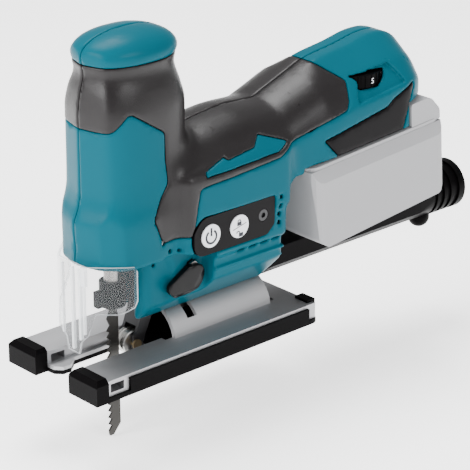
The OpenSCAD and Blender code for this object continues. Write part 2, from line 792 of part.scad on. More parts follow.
module battery_latch() {
    color("gray") battery_frame() difference() {
        block([95, -11, 1.5], [battery_l + 0.8, 11, 9.3]);
        for (z = [3.2:2:7.5]) block([battery_l + 0.2, -9, z], [battery_l + 2, 9, z + 0.8]);
    }
}

module battery_screws() {
    color("gray") battery_frame() for (x = [10, 92]) for (y = [-28, 28])
        translate([x, y, -battery_h + 1.8]) screw(3, 1.2, 1.6, 0.9);
}

// ---------- blade cover ----------

// Plan of the clear cover, from its flat front round to the open rear.
cover_half = [[-68.6, 10.5, 4], [-52, 27, 6], [-44, 29.6, 0]];

function cover_plan(d) = let (half = [for (c = cover_half) [c.x + d, c.y - d * 0.7, c[2]]],
    n = len(half)) rounded(concat(half, [for (i = [n - 1:-1:0]) [half[i].x, -half[i].y, half[i][2]]]), 3);

module blade_cover() {
    color("white") difference() {
        linear_extrude_between(14, 67) polygon(cover_plan(0));
        linear_extrude_between(10, 80) polygon(cover_plan(1.8));
        // lower edge: a tab at the front, rising over the sides
        for (side = [-1, 1])
            along_x(-90, 0) polygon([[side * 6.6, 0], [side * 6.6, 21], [side * 28, 42.4], [side * 40, 42.4],
                [side * 40, 0]]);
        // upper edge falls towards the rear
        along_y(-40, 40) polygon([[-72, 67.5], [-66, 66], [-58, 66], [-30, 64], [-30, 90], [-72, 90]]);
    }
}

// ---------- shoe ----------

// Half outline of the opening between the prongs, in the metal.
metal_notch = [[-90, 14.2], [-72, 14.2], [-66, 13.8], [-15.2, 13.8]];
// and at the level of the sole, with its rounded pads behind the caps.
pad_notch = [[-90, 14.2], [-73, 14.2], [-72.5, 9], [-69, 5.2], [-64, 5.2], [-57, 11], [-15.2, 11]];
cap_l = 8.2;

module shoe_plate() {
    x0 = shoe_x0 + cap_l;
    x1 = -shoe_x0 - 2;
    hw = shoe_w / 2 - 1.6;
    color("silver") difference() {
        union() {
            // sheet and folded edges
            linear_extrude_between(sheet_t, shoe_top) polygon([[x0, -hw], [x1, -hw], [x1, hw], [x0, hw]]);
            intersection() {
                rod_x_axis(hump_x0, hump_x1, saddle_r, 0, bevel_z, 96);
                block([hump_x0 - 1, -40, shoe_top - 1], [hump_x1 + 1, 40, 60]);
            }
        }
        // hollow underneath
        difference() {
            block([-56, -hw + sheet_t, 0], [x1 - sheet_t, hw - sheet_t, shoe_top - sheet_t]);
            for (side = [-1, 1]) translate([50, side * 26, 0]) cylinder(h = 20, r = 3, $fn = 24);
            block([-57, -16.5, 0], [-13, 16.5, 20]);
        }
        rod_x_axis(hump_x0 - 5, hump_x1 + 5, saddle_r - sheet_t, 0, bevel_z, 96);
        // arc slot of the bevel bolt
        along_x(bolt_x - 3.4, bolt_x + 3.4) polygon([[0, bevel_z], [24 * cos(34), bevel_z + 24 * sin(34)],
            [0, bevel_z + 44], [-24 * cos(34), bevel_z + 24 * sin(34)]]);
        // opening for the blade, wider above the pads
        linear_extrude_between(4.5, 30) polygon(mirrored(metal_notch));
        linear_extrude_between(-1, 30) polygon(mirrored(pad_notch));
        // slot for the bar of an edge guide, through both prongs
        block([guide_slot_x[0], -50, guide_slot_z[0]], [guide_slot_x[1], 50, guide_slot_z[1]]);
    }
}

guide_slot_x = [-70.4, -61.4];
guide_slot_z = [4.6, 9.4];

module linear_extrude_between(z0, z1) {
    translate([0, 0, z0]) linear_extrude(z1 - z0) children();
}

// Slip-on plastic cover: floor, side skirts, front caps and rear hooks.
module shoe_cover() {
    hw = shoe_w / 2;
    color("dimgray") difference() {
        union() {
            linear_extrude_between(0, sheet_t)
                polygon(rounded([[shoe_x0, -hw, 1], [-shoe_x0, -hw, 6], [-shoe_x0, hw, 6], [shoe_x0, hw, 1]]));
            for (side = [-1, 1]) {
                block([-58, min(side * hw, side * (hw - 1.6)), 0], [-shoe_x0 - 8, max(side * hw, side * (hw - 1.6)), 9.6]);
                // front caps
                along_x(shoe_x0, shoe_x0 + cap_l) polygon([[side * 14.2, 0], [side * hw, 0], [side * hw, 11],
                    [side * (hw - 2.5), 13.6], [side * 16.2, 13.6], [side * 14.2, 11.6]]);
                // rear hooks
                block([-shoe_x0 - 2, side * 29 - 5, 0], [-shoe_x0, side * 29 + 5, 13]);
                block([-shoe_x0 - 6, side * 29 - 5, shoe_top], [-shoe_x0, side * 29 + 5, 13]);
            }
        }
        linear_extrude_between(-1, 20) polygon(mirrored(pad_notch));
        // top of the caps falls towards the front
        along_y(-50, 50) polygon([[shoe_x0 - 1, 9], [shoe_x0 + 2.5, 14], [shoe_x0 - 1, 14]]);
    }
}

module bevel_bolt() {
    color("gray") translate([bolt_x, 0, 0]) difference() {
        union() {
            translate([0, 0, 15.5]) cylinder(h = 5.4, r = 5, $fn = 32);
            translate([0, 0, 20]) cylinder(h = 20, r = 3, $fn = 32);
        }
        translate([0, 0, 10]) cylinder(h = 8.5, r = 2.5, $fn = 6);
    }
}

module bevel_clamp_plate() {
    color("silver") difference() {
        intersection() {
            rod_x_axis(bolt_x - 10, bolt_x + 10, saddle_r - sheet_t - gap, 0, bevel_z, 96);
            block([0, -6.5, 20.9], [60, 6.5, 40]);
        }
        translate([bolt_x, 0, 0]) cylinder(h = 60, r = 3.05, $fn = 32);
    }
}

module bevel_nut() {
    color("gray") translate([bolt_x, 0, 33.2]) difference() {
        cylinder(h = 5, r = 5.8, $fn = 6);
        translate([0, 0, -1]) cylinder(h = 9, r = 3.02, $fn = 32);
    }
}

// ---------- dust nozzle ----------

duct = [[-15, 30.6], [-10.5, 26.1], [10.5, 26.1], [15, 30.6], [15, 41.2], [-15, 41.2]];
duct_bore = [[-12.6, 32], [-9.4, 28.5], [9.4, 28.5], [12.6, 32], [12.6, 39], [-12.6, 39]];

// Flat duct with a plug for the body, a round ribbed hose end and a knob under it.
module dust_nozzle() {
    color("black") difference() {
        union() {
            along_x(62, 188) polygon(duct);
            block([56, -12, 31], [62.5, 12, 40.6]);
            hull() {
                along_x(186, 188) polygon(duct);
                rod_x_axis(199, 201, 14.6, 0, nozzle_z);
            }
            rod_x_axis(199, nozzle_end, 13.9, 0, nozzle_z);
            for (x = [203:6:215]) rod_x_axis(x, x + 2.8, 15, 0, nozzle_z);
            rod_x_axis(nozzle_end - 5, nozzle_end, 15.2, 0, nozzle_z);
            translate([198, -4, 23]) sphere(r = 6.5, $fn = 32);
        }
        along_x(50, 190) polygon([[-10, 32.6], [10, 32.6], [10, 39], [-10, 39]]);
        along_x(66, 194) polygon(duct_bore);
        along_x(193, 200) polygon([[-9, 30], [9, 30], [9, 39], [-9, 39]]);
        rod_x_axis(199, nozzle_end + 1, 12.5, 0, nozzle_z);
    }
}

// ---------- assembly ----------

left_housing();
right_housing();
left_grip_overmould();
right_grip_overmould();
left_rear_pad();
right_rear_pad();
housing_screws();
gear_frame();
gear_frame_screws();
lower_bush();
upper_bush();
gear_bearing();
motor_front_bearing();
motor_rear_bearing();
motor_stator();
stator_windings();
rotor();
motor_shaft();
cooling_fan();
drive_gear();
crank_pin();
counterweight();
plunger_rod();
yoke_plate();
blade_clamp();
clamp_sleeve();
blade();
guide_arm();
guide_pivot_pin();
guide_roller();
roller_pin();
orbit_lever();
lever_shaft();
control_panel();
power_button();
lock_button();
button_board();
panel_screw();
speed_dial();
dial_potentiometer();
controller();
battery_receiver();
receiver_contacts();
work_light_lens();
blade_cover();
shoe_plate();
shoe_cover();
bevel_bolt();
bevel_clamp_plate();
bevel_nut();
dust_nozzle();
battery_case();
battery_top();
battery_cells();
battery_latch();
battery_screws();
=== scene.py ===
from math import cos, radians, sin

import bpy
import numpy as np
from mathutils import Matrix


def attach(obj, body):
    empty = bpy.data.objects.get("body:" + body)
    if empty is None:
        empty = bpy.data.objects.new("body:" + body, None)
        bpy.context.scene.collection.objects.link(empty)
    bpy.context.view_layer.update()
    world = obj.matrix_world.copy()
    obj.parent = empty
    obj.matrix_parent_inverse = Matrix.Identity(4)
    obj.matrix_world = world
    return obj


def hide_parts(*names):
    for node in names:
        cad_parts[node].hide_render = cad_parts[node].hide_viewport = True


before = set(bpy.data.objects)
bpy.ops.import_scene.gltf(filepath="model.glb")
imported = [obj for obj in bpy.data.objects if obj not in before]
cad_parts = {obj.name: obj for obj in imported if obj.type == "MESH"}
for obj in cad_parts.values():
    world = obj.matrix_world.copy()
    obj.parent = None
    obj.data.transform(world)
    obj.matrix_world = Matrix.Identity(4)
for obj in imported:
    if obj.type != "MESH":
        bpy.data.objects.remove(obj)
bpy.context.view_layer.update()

# Cordless barrel-grip jigsaw. The casing with its rubber and inlays and the orbit lever are
# modelled here as distance fields and turned into meshes, and the clear cover is a sheet with
# a thickness. Every other CAD node keeps its mesh and gets a material, and some are bevelled.
# Sizes inside the helpers are in millimetres, in the CAD frame; objects are in metres.

import openvdb
from mathutils import Vector

MM = 0.001


# ---------- materials ----------


def material(name, color, roughness=0.5, metallic=0.0, grain=0.0, grain_scale=1500.0,
             mottling=0.0, alpha=1.0, specular=0.35):
    """A Principled material with an optional moulded grain and a faint uneven roughness."""
    mat = bpy.data.materials.new(name)
    mat.use_nodes = True
    nodes, links = mat.node_tree.nodes, mat.node_tree.links
    shader = nodes["Principled BSDF"]
    shader.inputs["Base Color"].default_value = (*color, 1.0)
    shader.inputs["Roughness"].default_value = roughness
    shader.inputs["Metallic"].default_value = metallic
    shader.inputs["Specular IOR Level"].default_value = specular
    shader.inputs["Alpha"].default_value = alpha
    place = nodes.new("ShaderNodeTexCoord")
    if mottling:
        cloud = nodes.new("ShaderNodeTexNoise")
        cloud.inputs["Scale"].default_value = 60.0
        cloud.inputs["Detail"].default_value = 3.0
        spread = nodes.new("ShaderNodeMapRange")
        spread.inputs["To Min"].default_value = roughness - mottling
        spread.inputs["To Max"].default_value = roughness + mottling
        links.new(place.outputs["Object"], cloud.inputs["Vector"])
        links.new(cloud.outputs["Fac"], spread.inputs["Value"])
        links.new(spread.outputs["Result"], shader.inputs["Roughness"])
    if grain:
        noise = nodes.new("ShaderNodeTexNoise")
        noise.inputs["Scale"].default_value = grain_scale
        noise.inputs["Detail"].default_value = 2.0
        bump = nodes.new("ShaderNodeBump")
        bump.inputs["Strength"].default_value = grain
        bump.inputs["Distance"].default_value = 0.0002
        links.new(place.outputs["Object"], noise.inputs["Vector"])
        links.new(noise.outputs["Fac"], bump.inputs["Height"])
        links.new(bump.outputs["Normal"], shader.inputs["Normal"])
    return mat


def brushed(name, color, roughness, stretch):
    """Metal with fine scratches drawn out along one axis."""
    mat = material(name, color, roughness, metallic=1.0)
    nodes, links = mat.node_tree.nodes, mat.node_tree.links
    shader = nodes["Principled BSDF"]
    place = nodes.new("ShaderNodeTexCoord")
    scale = nodes.new("ShaderNodeMapping")
    scale.inputs["Scale"].default_value = stretch
    noise = nodes.new("ShaderNodeTexNoise")
    noise.inputs["Scale"].default_value = 1.0
    noise.inputs["Detail"].default_value = 4.0
    spread = nodes.new("ShaderNodeMapRange")
    spread.inputs["To Min"].default_value = roughness - 0.1
    spread.inputs["To Max"].default_value = roughness + 0.14
    bump = nodes.new("ShaderNodeBump")
    bump.inputs["Strength"].default_value = 0.12
    bump.inputs["Distance"].default_value = 0.0002
    links.new(place.outputs["Object"], scale.inputs["Vector"])
    links.new(scale.outputs["Vector"], noise.inputs["Vector"])
    links.new(noise.outputs["Fac"], spread.inputs["Value"])
    links.new(spread.outputs["Result"], shader.inputs["Roughness"])
    links.new(noise.outputs["Fac"], bump.inputs["Height"])
    links.new(bump.outputs["Normal"], shader.inputs["Normal"])
    return mat


TEAL = material("teal_plastic", (0.0, 0.07, 0.098), 0.3, grain=0.2, mottling=0.04, specular=0.05)
RUBBER = material("black_rubber", (0.0075, 0.0062, 0.0066), 0.33, grain=0.5, grain_scale=2200,
                  mottling=0.06, specular=0.26)
BLACK = material("black_plastic", (0.0014, 0.0012, 0.0014), 0.4, grain=0.3, mottling=0.05, specular=0.03)
GLOSS = material("gloss_black", (0.0025, 0.002, 0.0025), 0.32, mottling=0.03, specular=0.07)
LEVER = material("lever_plastic", (0.003, 0.0027, 0.003), 0.3, grain=0.2, mottling=0.05, specular=0.16)
PALE = material("pale_plastic", (0.31, 0.31, 0.32), 0.5, grain=0.15, mottling=0.04, specular=0.2)
PALE_DARK = material("pale_plastic_shade", (0.20, 0.20, 0.21), 0.55, grain=0.15, mottling=0.04)
WHITE = material("white_plastic", (0.80, 0.81, 0.84), 0.35, mottling=0.03)
INK = material("ink", (0.006, 0.007, 0.014), 0.5, mottling=0.03)
CLEAR = material("clear_plastic", (0.10, 0.11, 0.115), 0.08, alpha=0.12, mottling=0.03, specular=0.9)
# Near-white and half opaque: a painted highlight that stands in for the light caught by the clear
# cover's rim, ribs and catch.
PAINTED_HIGHLIGHT = material("clear_plastic_painted_highlight", (0.9, 0.93, 0.95), 0.25, alpha=0.55, mottling=0.05)
ALUMINIUM = brushed("shoe_aluminium", (0.38, 0.38, 0.39), 0.5, (60, 1500, 900))
CAST = material("cast_aluminium", (0.45, 0.46, 0.47), 0.5, metallic=1.0, grain=0.4, mottling=0.08)
STEEL = brushed("steel", (0.26, 0.25, 0.24), 0.28, (900, 900, 90))
BRIGHT_STEEL = brushed("bright_steel", (0.5, 0.49, 0.47), 0.26, (90, 900, 90))
DARK_STEEL = material("dark_steel", (0.05, 0.05, 0.052), 0.4, metallic=1.0, grain=0.2, mottling=0.06)
BLADE = brushed("blade_steel", (0.055, 0.053, 0.05), 0.32, (900, 900, 60))
BRONZE = material("bronze", (0.22, 0.17, 0.10), 0.4, metallic=1.0, mottling=0.08)
COPPER = material("copper", (0.50, 0.20, 0.08), 0.35, metallic=1.0, grain=0.6, grain_scale=900,
                  mottling=0.05)
BOARD = material("circuit_board", (0.01, 0.10, 0.04), 0.4, mottling=0.05)
FLOOR = material("floor", (0.97, 0.97, 0.97), 0.9)
glow = FLOOR.node_tree.nodes["Principled BSDF"].inputs
glow["Emission Color"].default_value = (1.0, 1.0, 1.0, 1.0)
glow["Emission Strength"].default_value = 1.4


# ---------- distance fields ----------

STEP = 0.8                                   # grid spacing of the skins
SKIN = 2.4                                   # thickness of the skins


class Field:
    """A regular grid over a box, in mm, with its coordinates ready for numpy."""

    def __init__(self, low, high, step):
        self.step = step
        self.first = [round(v / step) for v in low]
        last = [round(v / step) for v in high]
        axes = [np.arange(a, b + 1, dtype=np.float32) * step for a, b in zip(self.first, last)]
        self.x = axes[0][:, None, None]
        self.y = axes[1][None, :, None]
        self.z = axes[2][None, None, :]
        self.shape = tuple(len(a) for a in axes)

    def distance(self, value, reach=12.0):
        """Scales any implicit function so that it measures distance near its surface."""
        value = np.broadcast_to(value, self.shape).astype(np.float32)
        slopes = np.gradient(value, self.step)
        steepness = np.sqrt(sum(s * s for s in slopes))
        return np.clip(value / np.maximum(steepness, 1e-3), -reach, reach)

    def mesh(self, name, value, mat, flatness=0.02):
        """The surface where value is 0, as a smooth-shaded object in metres."""
        value = np.broadcast_to(value, self.shape).astype(np.float32).copy()
        band = 3.0 * self.step
        value = np.clip(value, -band, band)
        for axis in range(3):
            for end in (0, -1):
                edge = [slice(None)] * 3
                edge[axis] = end
                value[tuple(edge)] = band
        grid = openvdb.FloatGrid(band)
        grid.copyFromArray(value)
        points, triangles, quads = grid.convertToPolygons(isovalue=0.0, adaptivity=flatness)
        points = (points + np.array(self.first)) * self.step * MM
        faces = [tuple(f[::-1]) for f in quads.tolist()] + [tuple(f[::-1]) for f in triangles.tolist()]
        mesh = bpy.data.meshes.new(name)
        mesh.from_pydata(points.tolist(), [], faces)
        mesh.validate()
        mesh.polygons.foreach_set("use_smooth", [True] * len(mesh.polygons))
        mesh.materials.append(mat)
        obj = bpy.data.objects.new(name, mesh)
        bpy.context.collection.objects.link(obj)
        return obj


def curve(t, points):
    """Smooth curve through (t, value) points, without overshoot."""
    ts = np.array([p[0] for p in points], dtype=float)
    vs = np.array([p[1] for p in points], dtype=float)
    rise = np.diff(vs) / np.diff(ts)
    slope = np.zeros(len(ts))
    for i in range(1, len(ts) - 1):
        if rise[i - 1] * rise[i] > 0:
            slope[i] = 2 * rise[i - 1] * rise[i] / (rise[i - 1] + rise[i])
    slope[0], slope[-1] = rise[0], rise[-1]
    t = np.clip(t, ts[0], ts[-1])
    i = np.clip(np.searchsorted(ts, t, side="right") - 1, 0, len(ts) - 2)
    h = ts[i + 1] - ts[i]
    s = (t - ts[i]) / h
    return ((1 + 2 * s) * (1 - s) ** 2 * vs[i] + s * (1 - s) ** 2 * h * slope[i]
            + s * s * (3 - 2 * s) * vs[i + 1] + s * s * (s - 1) * h * slope[i + 1])


def join(a, b, k):
    """Union with a fillet of about k mm."""
    h = np.maximum(k - np.abs(a - b), 0) / k
    return np.minimum(a, b) - h * h * k / 4


def trim(a, b, k=1.0):
    """Intersection with a rounded edge of about k mm."""
    return -join(-a, -b, k)


def carve(a, b, k=1.0):
    """a with b taken out, with a rounded edge."""
    return trim(a, -b, k)


def brick(g, low, high, r=0.0):
    """Rounded box."""
    q = [np.abs(c - (a + b) / 2) - (b - a) / 2 + r for c, a, b in zip((g.x, g.y, g.z), low, high)]
    outside = np.sqrt(sum(np.maximum(v, 0) ** 2 for v in q))
    return outside + np.minimum(np.maximum(np.maximum(q[0], q[1]), q[2]), 0) - r


def rod(g, axis, a, b, r):
    """Cylinder along an axis; a and b are its centre on the other two axes."""
    across = [c for i, c in enumerate((g.x, g.y, g.z)) if i != axis]
    return np.sqrt((across[0] - a) ** 2 + (across[1] - b) ** 2) - r


def outline(g, points):
    """Signed distance to a closed outline in (x, z), negative inside."""
    px, pz = g.x[:, :, 0], g.z[0]
    best = np.full((g.shape[0], g.shape[2]), 1e9)
    inside = np.zeros(best.shape, dtype=bool)
    for (ax, az), (bx, bz) in zip(points, points[1:] + points[:1]):
        ex, ez = bx - ax, bz - az
        t = np.clip(((px - ax) * ex + (pz - az) * ez) / (ex * ex + ez * ez), 0, 1)
        best = np.minimum(best, np.hypot(px - ax - t * ex, pz - az - t * ez))
        crosses = ((az > pz) != (bz > pz)) & (px < (bx - ax) * (pz - az) / (bz - az + 1e-12) + ax)
        inside ^= crosses
    return np.where(inside, -best, best)[:, None, :].astype(np.float32)


def rounded(corners, steps=6):
    """Closed outline from corners (x, z, radius)."""
    points = []
    for i, (x, z, r) in enumerate(corners):
        p = Vector((x, z))
        u = (Vector(corners[i - 1][:2]) - p).normalized()
        v = (Vector(corners[(i + 1) % len(corners)][:2]) - p).normalized()
        reach = r * ((1 + u.dot(v)) / max(1e-6, 1 - u.dot(v))) ** 0.5
        if reach < 1e-6:
            points.append((x, z))
            continue
        start, stop = p + reach * u, p + reach * v
        for k in range(steps + 1):
            s = k / steps
            points.append(tuple((1 - s) ** 2 * start + 2 * s * (1 - s) * p + s * s * stop))
    return points


# ---------- casing ----------

BEVEL_Z = 8.0                                # axis that the shoe tilts about
SADDLE_CLEAR = 20.6                          # radius round that axis kept clear for the shoe's saddle
TILT_RISE = 14.8                             # height at the middle of the slope above the tilted shoe
DIAGONAL = 2 ** 0.5
HEAD_BOTTOM = 63.5
CAP_RIM = 175.5                              # widest height of the cap
CAP_RISE = 12.4
NECK_Z = 172.4                               # joint between the rubber and the cap
REAR_X = 180.5                               # end of the rear housing
END_RADIUS = 30.0                            # rounding of that end
BODY_HALF = 33.0                             # half width of the motor body
MOTOR_BODY_X = (-12.0, 61.0)
RUNNING_GAP = 0.12                           # gap between the casing's pieces
BLADE_X = -38.5
BOLT_X = 4.0                                 # bevel bolt
LEVER_AT = (0.0, 52.0)                       # x and z of the orbit lever's shaft
POCKET_Y = -20.8                             # floor of the lever's pocket
BUTTON_X = (2.5, 23.0)
BATTERY_TILT = radians(4)
BATTERY_AT = (78.0, 91.0)                    # front of the battery's shoulder, x and z
PANEL_Y = -33.0                              # face of the control panel
DIAL_AT = (130.0, -11.5, 129.5)
DIAL_R = 16.0
DIAL_HALF = 4.2                              # half height of the space that the dial turns in

# Outlines on the casing's side, as corners (x, z, radius).
GRIP_ZONE = rounded([
    (-80, 139.8, 0), (-60, 139.2, 4), (-52.5, 137.6, 8), (-43, 148.6, 3), (-21, 134, 4),
    (-20.5, 106, 6), (-30.5, 88, 2), (-24.5, 73, 1.5), (-8.5, 74.5, 3), (-3.5, 100.4, 3),
    (52.8, 104.4, 4), (64.3, 109.6, 4), (105.5, 118.6, 2), (109.2, 122.6, 1.5), (113, 132.4, 1.5),
    (98, 145, 3), (96, 175, 0), (8, 175, 0), (8, NECK_Z, 0), (-80, NECK_Z, 0)])
SLIVER = rounded([
    (0.6, 105.4, 0.8), (1.1, 108, 0.8), (16.2, 112.4, 1.5), (17.5, 110.6, 0.8), (37.8, 112.8, 2),
    (43.6, 117.9, 1), (61.6, 111.3, 1), (53.3, 107.7, 2)])
PAD_ZONE = rounded([
    (88.3, 104.8, 1), (101, 91.4, 1), (150, 94.6, 1.5), (160.8, 124.8, 2), (142.4, 117.4, 5),
    (137.3, 113.7, 3)])
RECESS_ZONE = rounded([
    (114.6, 119.9, 1), (153, 125, 1), (149.2, 131.5, 1), (145.4, 136.4, 1), (121.6, 133.4, 1)])
WINDOW_ZONE = rounded([
    (119.9, 126.2, 1), (139.8, 129.1, 1), (142.3, 133.4, 1), (122.4, 130.6, 1)])
PANEL_ZONE = rounded([
    (-9, 62, 8), (44, 62, 3), (49.5, 67, 3), (49.5, 83.4, 2), (-3, 83.4, 9), (-9, 76, 6)])
LEVER_ZONE = rounded([
    (-4, 54, 3), (3.5, 53.5, 3.5), (6.5, 48, 3.5), (5, 42, 4), (-5, 33.5, 4.5), (-11, 35, 4),
    (-19, 42, 4), (-18, 46, 4)])


def battery_axes(g):
    """Distance along and above the battery's shoulder."""
    dx, dz = g.x - BATTERY_AT[0], g.z - BATTERY_AT[1]
    c, s = cos(BATTERY_TILT), sin(BATTERY_TILT)
    return c * dx + s * dz, c * dz - s * dx


def tower(g):
    """Head column with a keel down its front, a neck and an oval cap."""
    front = curve(g.z, [(60, -64.2), (74, -63.8), (86, -64.2), (97, -60.6), (104, -59.4),
                        (146, -59.2), (157, -57.8), (167.5, -55.3), (171, -56.0), (CAP_RIM, -56.8)])
    back = curve(g.z, [(60, -4), (90, 2), (146, 4.5), (157, 2.5), (167.5, 0.5), (171, 1.2),
                       (CAP_RIM, 2.5)])
    half = curve(g.z, [(60, 27.2), (74, 26.9), (86, 27.2), (98, 25.6), (110, 25), (146, 25),
                       (157, 23.2), (167.5, 20.4), (171, 20.9), (CAP_RIM, 22.2)])
    u = np.abs(g.x - (front + back) / 2) / ((back - front) / 2)
    v = np.abs(g.y) / half
    power = curve(g.z, [(60, 2.7), (150, 2.6), (168, 2.3), (200, 2.3)])
    ring = (u ** power + v ** power) ** (1 / power)
    dome = np.maximum(g.z - CAP_RIM, 0) / CAP_RISE
    column = g.distance((ring ** 2.1 + dome ** 2.1) ** (1 / 2.1) - 1)
    # two shallow slopes that meet in a keel, and fade out above the rim
    keel_slope = 0.3
    keel = (front + keel_slope * np.abs(g.y) - g.x) * cos(0.29) + 0.2
    keel_top = CAP_RIM + 4
    column = trim(column, np.where(g.z < keel_top, keel, keel - (g.z - keel_top)), 1.5)
    # cut corners that leave room for the clear cover to rise past
    column = trim(column, (np.abs(g.y) - g.x) / DIAGONAL - 53.0, 1)
    return trim(column, HEAD_BOTTOM - g.z, 1.5)


def slanted(side, height, at_side, at_height, angle):
    """Plane through one point of the section, falling outwards at an angle."""
    return (side - at_side) * sin(angle) + (height - at_height) * cos(angle)


def barrel(g):
    """Round-topped grip that runs into the facetted rear housing."""
    top = curve(g.x, [(-20, 122), (0, 124), (14, 126.5), (25, 128), (41, 129.5), (63, 128.5),
                      (72, 131.5), (92, 139), (103, 143), (125, 146.2), (147, 149.6), (184, 149.6)])
    half = curve(g.x, [(-20, 24), (0, 28), (20, 31), (60, 31.5), (80, 32.2), (100, 33.5),
                       (180, 33.5)])
    mid = curve(g.x, [(-20, 102), (60, 104), (100, 112), (180, 112)])
    side = np.abs(g.y)
    ring = ((side / half) ** 2.1 + (np.maximum(g.z - mid, 0) / (top - mid)) ** 2.1) ** (1 / 2.1)
    section = g.distance(ring - 1)
    # flat top, two slopes and upright sides of the rear housing
    upper = trim(g.z - top, slanted(side, g.z, 8, top, radians(37)), 0.8)
    lower = trim(slanted(side, g.z, 24, top - 12, radians(54)), side - half, 1.5)
    facets = trim(upper, lower, 0.8)
    # the grip changes into the facetted housing over a short length
    share = np.clip((g.x - 92) / 14, 0, 1)
    section = section + (facets - section) * share
    past = np.maximum(g.x - (REAR_X - END_RADIUS), 0)
    section = np.sqrt(np.maximum(section + END_RADIUS, 0) ** 2 + past ** 2) - END_RADIUS
    bottom = np.where(g.x > MOTOR_BODY_X[1], 88.5, 80.0)
    return trim(trim(section, bottom - g.z, 2), -18 - g.x, 2)


def lower_body(g):
    """Gearbox and motor body: upright sides, then a step inwards with level ribs."""
    front, rear = MOTOR_BODY_X
    upper = brick(g, (front, -BODY_HALF, 56.5), (rear, BODY_HALF, 108), 4)
    waist = brick(g, (front, -29.8, 10), (rear, 29.8, 80), 5)
    for level, reach in ((50.0, 30.9), (44.5, 30.6)):
        rib = brick(g, (front, -reach, level - 1), (rear - 1, reach, level + 1), 0.9)
        waist = np.minimum(waist, rib)
    body = join(upper, waist, 2.5)
    lever_block = brick(g, (front, -BODY_HALF, 30), (4, BODY_HALF, 70), 5)
    return join(body, lever_block, 3)


def dial_recess(g, form):
    """Recess that follows the slope round the dial's window, with a pointed rear end."""
    window = np.minimum(outline(g, WINDOW_ZONE) - 1.5, 0)
    sloped = trim(outline(g, RECESS_ZONE), -(form + 1.9 - 0.35 * window), 0.3)
    return np.maximum(sloped, g.y + 15)


def casing(g):
    """Outer form of the closed casing, before openings."""
    along, above = battery_axes(g)
    leg = trim(brick(g, (-31, -18.5, 19), (-5, 18.5, 80), 5), 23 - g.z, 2)
    form = join(barrel(g), lower_body(g), 10)
    form = join(form, tower(g), 9)
    form = join(form, leg, 5)
    # clear of the tilting shoe and its saddle
    form = trim(form, (np.abs(g.y) + TILT_RISE - g.z) / DIAGONAL, 2)
    form = carve(form, np.maximum(rod(g, 0, 0, BEVEL_Z, SADDLE_CLEAR), g.x - 64), 1)
    # clear of the battery, and of the raised end of its lid
    form = carve(form, np.maximum(above - 0.8, -3.6 - along), 1.5)
    lid_end = np.maximum(np.maximum(above - 15, 79.5 - along), np.abs(g.y) - 34.4)
    form = carve(form, lid_end, 2)
    # lever pocket, panel recess and dial recess
    pocket = brick(g, (-25.5, -60, 33.5), (8.5, POCKET_Y, 64.5), 4)
    form = carve(form, np.maximum(pocket, g.y - POCKET_Y), 1.2)
    form = carve(form, np.maximum(outline(g, PANEL_ZONE) - 0.5, g.y + 31.2), 0.8)
    form = carve(form, dial_recess(g, form), 0.3)
    return form


def mechanism_openings(g, shell):
    """Cuts for the battery rails, the blade's drive, the nozzle, the dial and the shafts."""
    along, above = battery_axes(g)
    rails = np.maximum(np.abs(above - 10) - 11.5, np.abs(along - 36) - 35.2)
    shell = carve(shell, np.maximum(rails, np.abs(g.y) - 31), 0.4)
    # round well of the blade clamp, slot of the guide arm, mouth of the nozzle's duct
    shell = carve(shell, np.maximum(rod(g, 2, BLADE_X, 0, 11.8), g.z - 80), 1)
    shell = carve(shell, brick(g, (-50, -7.4, 0), (-6, 7.4, 72)), 1)
    shell = carve(shell, brick(g, (52, -12.6, 30.4), (70, 12.6, 41.2), 1), 1)
    # window of the dial, and the space that its rim turns in
    dial_x, dial_y, dial_z = DIAL_AT
    shell = carve(shell, np.maximum(outline(g, WINDOW_ZONE), g.y + 18), 0.5)
    rim = rod(g, 2, dial_x, dial_y, DIAL_R + 1.2)
    shell = carve(shell, np.maximum(rim, np.abs(g.z - dial_z) - DIAL_HALF), 0.6)
    # holes of the lever's shaft, the bevel bolt and the two buttons
    shell = carve(shell, np.maximum(rod(g, 1, *LEVER_AT, 3.4), g.y + 10), 0.4)
    shell = carve(shell, np.maximum(rod(g, 2, BOLT_X, 0, 6.4), g.z - 44), 0.6)
    for x in BUTTON_X:
        shell = carve(shell, np.maximum(rod(g, 1, x, 72.5, 7.4), g.y + 20), 0.4)
    return shell


def vents_and_marks(g, shell):
    """Vent slots on both sides, and small dents that mark the lever's positions."""
    inner = 28 - np.abs(g.y)
    for i in range(4):
        slot = brick(g, (52.4, -60, 64.8 + 5.2 * i), (55, 60, 67.4 + 5.2 * i), 0.4)
        shell = carve(shell, np.maximum(slot, inner), 0.4)
        slot = brick(g, (24.5 + 8.6 * i, -60, 55.9), (31 + 8.6 * i, 60, 57.5), 0.4)
        shell = carve(shell, np.maximum(slot, inner), 0.4)
    reach = 1.1
    for x, z in ((-24.4, 72.9), (-19.4, 67.1), (-14, 66.8), (-23.8, 62.6), (-25, 58.6)):
        dent = brick(g, (x - reach, -60, z - reach), (x + reach, -10, z + reach), 0.2)
        shell = carve(shell, np.maximum(dent, -shell - reach), 0.1)
    return shell


